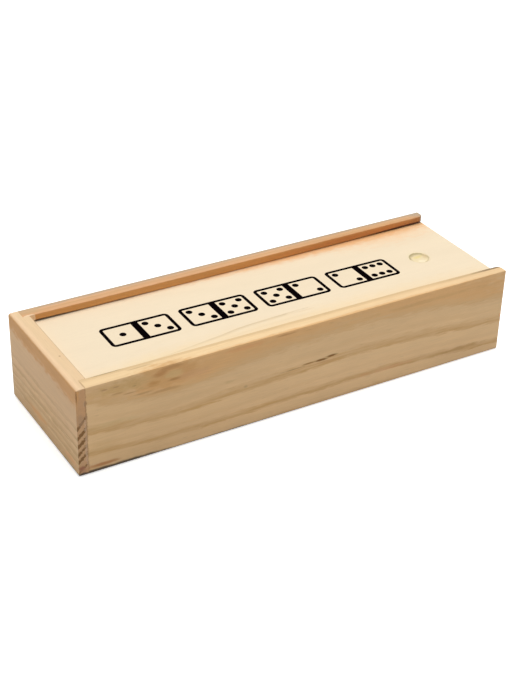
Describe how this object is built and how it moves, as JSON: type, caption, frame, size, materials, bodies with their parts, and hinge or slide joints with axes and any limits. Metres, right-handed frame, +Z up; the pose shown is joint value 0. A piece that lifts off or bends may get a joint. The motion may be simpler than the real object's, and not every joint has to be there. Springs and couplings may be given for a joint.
{
  "type": "domino storage box",
  "caption": "Low rectangular wooden box with a flat lid that slides out through one end, for a row of dominoes.",
  "frame": {"origin": "middle of the underside, where the box rests on a table", "axes": "+X along the box towards the open end, the way the lid slides out; +Y across it towards the rear side board; +Z up"},
  "size_m": [0.155, 0.05, 0.03],
  "materials": {
    "side_pine": "bare sanded softwood, warm tan",
    "end_pine": "bare sanded softwood, pinkish tan",
    "bottom_pine": "bare sanded softwood, pale",
    "lid_pine": "bare sanded softwood, very pale cream"
  },
  "bodies": {
    "box": {"front_side_board": "side_pine", "rear_side_board": "side_pine", "closed_end_board": "end_pine", "open_end_board": "end_pine", "bottom_panel": "bottom_pine"},
    "lid": {"sliding_lid": "lid_pine"}
  },
  "joints": [
    {"name": "lid_slide", "type": "slide", "parent": "box", "child": "lid", "axis": [1, 0, 0], "range_m": [0, 0.155]}
  ]
}
